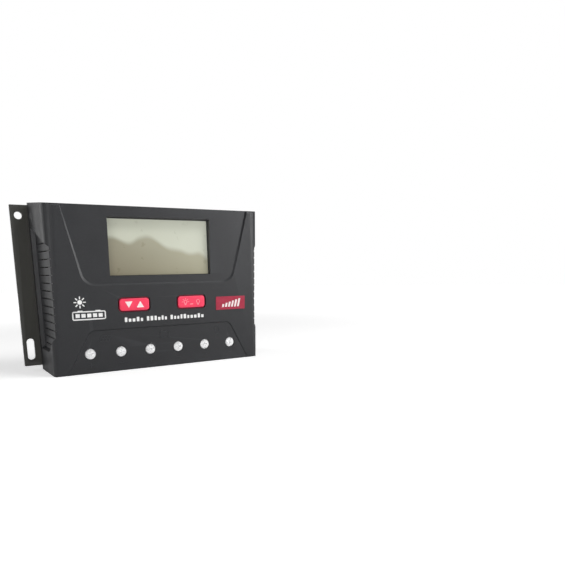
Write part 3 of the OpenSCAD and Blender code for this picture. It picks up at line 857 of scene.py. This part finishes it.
def thread(bm, r, pitch, y0, y1, depth):
    """A screw thread along Y, as a ridged sleeve with closed ends."""
    steps, rows_per_turn = 28, 6
    rows = round((y1 - y0) / pitch * rows_per_turn)
    rings = []
    for row in range(rows + 1):
        y = y0 + (y1 - y0) * row / rows
        points = []
        for i in range(steps):
            turn = i / steps
            ridge = abs(((y / pitch - turn) % 1) * 2 - 1)
            fade = min(1, (y1 - y) / pitch)
            rr = r - depth * (1 - ridge * fade)
            points.append((rr * math.cos(math.tau * turn), y, rr * math.sin(math.tau * turn)))
        rings.append(points)
    loft(bm, rings)


def slot_tool(reach, half_w, depth, turn=0):
    """A cutter for a straight slot across a head whose top is at Y = 0."""
    bm = bmesh.new()
    box(bm, (-reach, -1, -half_w), (reach, depth, half_w))
    bm.transform(rotation(turn, "Y"))
    return bm


def cross_tools(half, arm, depth):
    """Cutters for the two arms of a cross recess, which narrow downwards."""
    tools = []
    for turn in (0, 90):
        bm = bmesh.new()
        loft(bm, [at_depth(rounded(half * share, arm * share, arm * share * 0.4, 3), y)
                  for y, share in ((-1, 1.0), (0.2, 1.0), (depth, 0.45))])
        bm.transform(rotation(turn, "Y"))
        tools.append(bm)
    return tools


def pan_head(r, height, crown):
    """The profile of a pan head, from its top at Y = 0 to its underside."""
    edge = min(0.45 * height, 0.5)
    dome = [(0, 0)] + [((r - edge) * share, crown * share ** 2) for share in (0.3, 0.6, 0.85)]
    corner = arc((r - edge, crown + edge), edge, -90, 0, 6)
    return dome + corner + [(r, height - 0.12), (r - 0.12, height)]


def screw(head_r, head_h, shank_r, length, pitch, cutters, crown=0.25):
    """A screw along Y with its head's top at Y = 0."""
    core_r = shank_r - 0.55 * pitch
    stub = [(core_r, head_h), (core_r, head_h + 0.3), (0, head_h + 0.3)]
    bm = bmesh.new()
    turned(bm, pan_head(head_r, head_h, crown) + stub, 56)
    bm = cut(bm, *cutters)
    thread(bm, shank_r, pitch, head_h - 0.1, length, 0.5 * pitch)
    return bm


def terminal_screws():
    """Terminal screws: domed nickel heads with a slot and a cross, on a coarse metric thread."""
    low, high = extent("terminal_screw_1")
    head_r = (high.x - low.x) / 2
    cutters = [slot_tool(head_r + 1, 0.42, 0.85)] + cross_tools(2.0, 0.42, 1.6)
    master = screw(head_r, head_h=3.4, shank_r=2.45, length=high.y - low.y, pitch=0.8,
                   cutters=cutters, crown=0.35)
    rng = random.Random(11)
    for i in TERMINALS:
        low, high = extent(f"terminal_screw_{i}")
        x, z = middle(low, high)
        place = Matrix.Translation((x, low.y, z))
        angle = Matrix.Rotation(rng.uniform(0, math.pi), 4, "Y")
        piece(f"clamp_screw_{i}", master.copy(), "nickel", f"screw_{i}",
              place @ angle, [f"terminal_screw_{i}"], bevel=0.06)
    master.free()


def screw_group(node, name, material, slot, head_r, head_h, shank_r, pitch, backward):
    """Cross-head screws in place of a CAD group, one at each of its solids.

    Those that go in from behind, with their heads to the wall, are backward.
    """
    boxes = islands(node)
    length = boxes[0][1].y - boxes[0][0].y
    cutters = cross_tools(head_r * 0.6, head_r * 0.15, head_h * 0.65)
    master = screw(head_r, head_h, shank_r, length, pitch, cutters)
    rng = random.Random(len(boxes))
    bm = bmesh.new()
    for low, high in boxes:
        x, z = middle(low, high)
        place = Matrix.Translation((x, high.y if backward else low.y, z))
        place = place @ Matrix.Rotation(math.pi if backward else 0, 4, "Z")
        place = place @ Matrix.Rotation(rng.uniform(0, math.pi), 4, "Y")
        absorb(bm, master.copy(), place)
    master.free()
    piece(name, bm, material, "case", stands_for=[node], bevel=0.04)


# ---- Display ------------------------------------------------------------------------------

def display():
    """The display's two glasses: a rear one, and a front one that carries the olive film."""
    low, high = extent("lcd_glass")
    film_t, gap, border = 0.25, 0.02, 0.8
    bm = bmesh.new()
    box(bm, (low.x, low.y + film_t + gap, low.z), (high.x, high.y, high.z))
    piece("display_glasses", bm, "glass", "case", stands_for=["lcd_glass"], bevel=0.15)
    bm = bmesh.new()
    box(bm, (low.x + border, low.y, low.z + border),
        (high.x - border, low.y + film_t, high.z - border))
    piece("display_film", bm, "lcd", "case", bevel=0.06)


# ---- Electronics --------------------------------------------------------------------------

def capacitors():
    """Aluminium cans in printed sleeves, with a crimp near the board and a scored vent on top."""
    cans, sleeves, stripes = bmesh.new(), bmesh.new(), bmesh.new()
    for low, high in islands("capacitors"):
        x, z = middle(low, high)
        r = (high.x - low.x) / 2
        place = Matrix.Translation((x, low.y, z))
        length = high.y - low.y
        can = bmesh.new()
        turned(can, [(0, 0.35), (r - 1.6, 0.3), (r - 1.1, 0.45), (r - 0.6, 1.0),
                     (r - 0.6, 3), (0, 3)])
        score = [slot_tool(r * 0.75, 0.15, 0.6, turn) for turn in (0, 60, 120)]
        absorb(cans, cut(can, *score), place)
        skin = bmesh.new()
        crimp = length - 2.6
        turned(skin, [(0, 2), (r - 1.15, 2), (r - 1.15, 0.25), (r - 0.7, 0), (r - 0.25, 0.15),
                      (r, 0.7), (r, crimp - 1), (r - 0.25, crimp - 0.6), (r - 0.55, crimp),
                      (r - 0.25, crimp + 0.6), (r, crimp + 1), (r, length - 0.5),
                      (r - 0.5, length), (0, length)])
        absorb(sleeves, skin, place)
        stripe = bmesh.new()
        rings = []
        for y in (0.9, crimp - 1.1):
            outer = arc((0, 0), r + 0.03, 160, 200, 8)
            inner = arc((0, 0), r - 0.1, 200, 160, 8)
            rings.append(at_depth(outer + inner, y))
        loft(stripe, rings)
        absorb(stripes, stripe, place)
    piece("capacitor_cans", cans, "aluminium", "case",
          stands_for=["capacitors"])
    piece("capacitor_sleeves", sleeves, "sleeve", "case")
    piece("capacitor_stripes", stripes, "ink", "case")


def fuses():
    """Blade fuses: a clear amber body with a thicker cap, over two tinned blades."""
    bodies, blades = bmesh.new(), bmesh.new()
    body_h, half_t = 11, 2.5
    blade_x, blade_half_w, blade_t = 6, 2.5, 0.75
    for low, high in islands("blade_fuses"):
        half_w = (high.x - low.x) / 2
        x, z = middle(low, high)
        for inset, thin, y0, y1 in ((0, 0, 0, 3.2), (1.2, 0.6, 3.0, body_h)):
            rings = []
            for y, edge in ((y0, 0.3), (y0 + 0.3, 0), (y1 - 0.3, 0), (y1, 0.3)):
                outline = rounded(half_w - inset - edge, half_t - thin - edge, 0.8, 4, (x, z))
                rings.append(at_depth(outline, low.y + y))
            loft(bodies, rings)
        for side in (-1, 1):
            ribbon(blades, [(low.y + 2, z), (high.y - 0.6, z), (high.y, z)], blade_t,
                   x + side * blade_x - blade_half_w, x + side * blade_x + blade_half_w)
    piece("fuse_bodies", bodies, "amber", "case", stands_for=["blade_fuses"])
    piece("fuse_blades", blades, "tinned", "case", bevel=0.1)


def inductor():
    """A ferrite bobbin wound with enamelled wire."""
    low, high = extent("inductor")
    r = (high.x - low.x) / 2
    height = high.y - low.y
    x, z = middle(low, high)
    place = Matrix.Translation((x, low.y, z))
    core = bmesh.new()
    turned(core, [(0, 0.5), (1.2, 0.5), (1.5, 0.1), (1.8, 0), (r - 0.3, 0), (r, 0.3), (r, 1.3),
                  (r - 0.2, 1.6), (r - 1.7, 1.6), (r - 1.7, height - 1.6), (r - 0.2, height - 1.6),
                  (r, height - 1.3), (r, height - 0.3), (r - 0.3, height), (0, height)])
    piece("inductor_core", core, "ferrite", "case", place, ["inductor"])
    turns = 8
    wire = (height - 3.2) / turns / 2
    profile = [(0, 1.62)]
    for i in range(turns):
        profile += arc((r - 0.75, 1.6 + wire * (2 * i + 1)), wire, -80, 80, 6)
    winding = bmesh.new()
    turned(winding, profile + [(0, height - 1.62)])
    piece("inductor_winding", winding, "copper", "case", place)


def chip():
    """A flat pack with a bevelled body, a pin-one dimple and gull-wing leads on four sides."""
    low, high = extent("microcontroller")
    x, z = middle(low, high)
    half, foot = 6, (high.x - low.x) / 2
    place = Matrix.Translation((x, 0, z))
    body = bmesh.new()
    sides = ((low.y, 0.25), (low.y + 0.65, 0), (low.y + 0.75, 0), (high.y - 0.2, 0.2))
    loft(body, [at_depth(rounded(half - inset, half - inset, 0.5, 3), y) for y, inset in sides])
    dimple = bmesh.new()
    turned(dimple, [(0, low.y - 1), (0.5, low.y - 1), (0.5, low.y + 0.12), (0, low.y + 0.14)],
           24, (-4.6, 4.6))
    piece("chip_body", cut(body, dimple), "chip", "case", place, ["microcontroller"],
          bevel=0.05)
    leads = bmesh.new()
    profile = [(low.y + 0.7, half - 0.2), (low.y + 0.7, half + 0.3), (high.y - 0.15, half + 0.6),
               (high.y - 0.1, foot - 0.02)]
    for side in range(4):
        around = Matrix.Rotation(side * math.pi / 2, 4, "Y")
        for i in range(-5, 6):
            ribbon(leads, profile, 0.15, i - 0.2, i + 0.2, around)
    piece("chip_leads", leads, "tinned", "case", place)


def header():
    """A pin header: a ribbed black strip with square gold pins that taper at their tips."""
    low, high = extent("header_pins")
    centre, z = middle(low, high)
    pitch, strip_t, count = 2.54, 2.5, 8
    pin_half, strip_half = 0.32, 1.25
    left = centre - pitch * (count - 1) / 2
    strip, pins = bmesh.new(), bmesh.new()
    for i in range(count):
        x = left + i * pitch
        loft(strip, [
            at_depth(rounded(pitch / 2 - 0.02 - inset, strip_half - inset, 0.4, 2, (x, z)), y)
            for y, inset in ((low.y, 0.15), (low.y + 0.15, 0), (low.y + strip_t, 0))])
        loft(pins, [
            at_depth(rounded(pin_half - inset, pin_half - inset, 0.05, 1, (x, z)), y)
            for y, inset in ((low.y + 0.3, 0), (high.y - 0.8, 0), (high.y, 0.18))])
    piece("header_strip", strip, "black", "case", stands_for=["header_pins"])
    piece("header_gold_pins", pins, "gold", "case")


# ---- Carried-over CAD nodes ---------------------------------------------------------------

# The material of each, and the width of its edge radii.
SOFTENED = {
    "front_cover": ("cover", 0.28), "heat_sink": ("plate", 0.3), "rating_label": ("label", 0.06),
    "lcd_bezel": ("bezel", 0.12), "backlight": ("diffuser", 0.15), "contact_strip": ("zebra", 0.15),
    "display_board": ("board", 0.08),
    "plunger_page": ("black", 0.15), "plunger_load": ("black", 0.15),
    "switch_page": ("black", 0.15), "switch_load": ("black", 0.15),
    "main_board": ("board", 0.08), "standoffs": ("brass", 0.12),
    "header_socket": ("black", 0.12), "terminal_block": ("terminal", 0.2),
    "contact_bars": ("tinned", 0.12), "mosfets": ("mosfet", 0.12),
    "thermal_pad": ("pad", 0.05), "shunt": ("copper", 0.15),
}
for i in TERMINALS:
    SOFTENED[f"clamp_cage_{i}"] = ("cage", 0.25)

# Node, piece, material, slot, head radius and height, shank radius, pitch, and whether backward.
SCREW_GROUPS = [
    ("cover_screws", "cover_pan_screws", "blackened", "black_screw", 2.8, 2.2, 1.45, 0.9, True),
    ("display_screws", "display_pan_screws", "zinc", "zinc_screw", 2.4, 1.7, 1.05, 0.7, True),
    ("board_screws", "board_pan_screws", "zinc", "zinc_screw", 2.75, 2.0, 1.25, 0.5, False),
    ("mosfet_screws", "mosfet_pan_screws", "zinc", "zinc_screw", 2.7, 2.0, 1.45, 0.5, False),
]

for node, (material, width) in SOFTENED.items():
    softened(node, material, width)
printing()
label_printing()
terminal_marks()
keys()
terminal_screws()
for group in SCREW_GROUPS:
    screw_group(*group)
display()
capacitors()
fuses()
inductor()
chip()
header()

# ---- Studio -------------------------------------------------------------------------------

CAMERA_PLACE = Vector((-0.1285, -0.3921, 0.0674))
CAMERA_YAW = 31.07
CAMERA_PITCH = -10.40
CAMERA_ROLL = -0.907
LENS = 35.19
SHIFT_UP = 0.153


def make_camera():
    data = bpy.data.cameras.new("camera")
    data.sensor_width = 36
    data.lens = LENS
    data.shift_y = SHIFT_UP
    data.clip_start = 0.01
    camera = bpy.data.objects.new("camera", data)
    aim = rotation(-CAMERA_YAW, "Z") @ rotation(90 + CAMERA_PITCH, "X")
    aim = aim @ rotation(CAMERA_ROLL, "Z")
    camera.matrix_world = Matrix.Translation(CAMERA_PLACE) @ aim
    bpy.context.scene.collection.objects.link(camera)
    bpy.context.scene.camera = camera


def soft_light(name, place, power, size, target=(0, 0, 0.05), shadow=True):
    """A square soft box that faces a target. Places and sizes are in metres."""
    data = bpy.data.lights.new(name, "AREA")
    data.energy = power
    data.size = size
    data.use_shadow = shadow
    lamp = bpy.data.objects.new(name, data)
    aim = (Vector(target) - Vector(place)).to_track_quat("-Z", "Y").to_matrix().to_4x4()
    lamp.matrix_world = Matrix.Translation(place) @ aim
    lamp.visible_camera = False
    bpy.context.scene.collection.objects.link(lamp)


FLOOR_R = 1.6
FLOOR_NEAR = 0.25
FLOOR_FAR = 0.8
FLOOR_GLOW_SEEN = 0.5
FLOOR_GLOW_UNSEEN = 0.0


def make_floor():
    """Pale paper that glows more and more with distance, so that it meets the backdrop unseen.

    Near the object it glows less for the object than for the camera.
    """
    bm = bmesh.new()
    bmesh.ops.create_circle(bm, cap_ends=True, segments=96, radius=FLOOR_R / MM)
    floor = finished("floor", bm)
    s = Shader("floor_paper", (0.82, 0.82, 0.82), 0.7)
    s.drive("Base Color", s.mix(s.noise(60, 3), (0.81, 0.81, 0.81), (0.83, 0.83, 0.83)))
    distance = s.node("VectorMath", operation="LENGTH")
    s.feed(distance, 0, s.place)
    s.set("Emission Color", (1, 1, 1, 1))
    seen = s.node("LightPath").outputs["Is Camera Ray"]
    near_glow = s.span(seen, 0, 1, FLOOR_GLOW_UNSEEN, FLOOR_GLOW_SEEN)
    s.drive("Emission Strength", s.span(
        distance.outputs["Value"], FLOOR_NEAR, FLOOR_FAR, near_glow, 1.0, smooth=True))
    floor.data.materials.append(s.material)


# A direction, the lowest and highest cosine with it, and the levels there.
SKY = ((-0.35, 0.5, 0.8), (-0.7, 0.9, 0.1, 0.95))
DARK_CORNER = ((0.7, 0.72, 0), (0.6, 0.95, 1.0, 0.12))


def make_world():
    """White to the camera. To the object it is bright behind and above, and dark on the right."""
    world = bpy.data.worlds.new("studio")
    bpy.context.scene.world = world
    world.use_nodes = True
    tree = world.node_tree
    background = tree.nodes["Background"]
    backdrop = tree.nodes.new("ShaderNodeBackground")
    backdrop.inputs["Color"].default_value = (1, 1, 1, 1)
    backdrop.inputs["Strength"].default_value = 1.0
    direction = tree.nodes.new("ShaderNodeTexCoord").outputs["Generated"]
    shaded = tree.nodes.new("ShaderNodeMath")
    shaded.operation = "MULTIPLY"
    for factor, (axis, levels) in enumerate((SKY, DARK_CORNER)):
        toward = tree.nodes.new("ShaderNodeVectorMath")
        toward.operation = "DOT_PRODUCT"
        tree.links.new(direction, toward.inputs[0])
        toward.inputs[1].default_value = Vector(axis).normalized()
        level = tree.nodes.new("ShaderNodeMapRange")
        tree.links.new(toward.outputs["Value"], level.inputs[0])
        for socket, number in enumerate(levels, start=1):
            level.inputs[socket].default_value = number
        tree.links.new(level.outputs["Result"], shaded.inputs[factor])
    tree.links.new(shaded.outputs["Value"], background.inputs["Strength"])
    rays = tree.nodes.new("ShaderNodeLightPath")
    blend = tree.nodes.new("ShaderNodeMixShader")
    tree.links.new(rays.outputs["Is Camera Ray"], blend.inputs[0])
    tree.links.new(background.outputs[0], blend.inputs[1])
    tree.links.new(backdrop.outputs[0], blend.inputs[2])
    tree.links.new(blend.outputs[0], tree.nodes["World Output"].inputs["Surface"])


make_camera()
make_floor()
make_world()
soft_light("key_light", place=(0.35, -0.42, 0.75), power=4.4, size=0.4, target=(0, 0, 0.09))
soft_light("left_light", place=(-0.8, -0.75, 0.3), power=2.6, size=0.6)
soft_light("right_light", place=(0.98, -0.9, 0.3), power=9, size=0.5, shadow=False)
soft_light("side_light", place=(-1.0, 0.85, 0.5), power=7.5, size=1.1)
bpy.context.scene.view_settings.view_transform = "Standard"
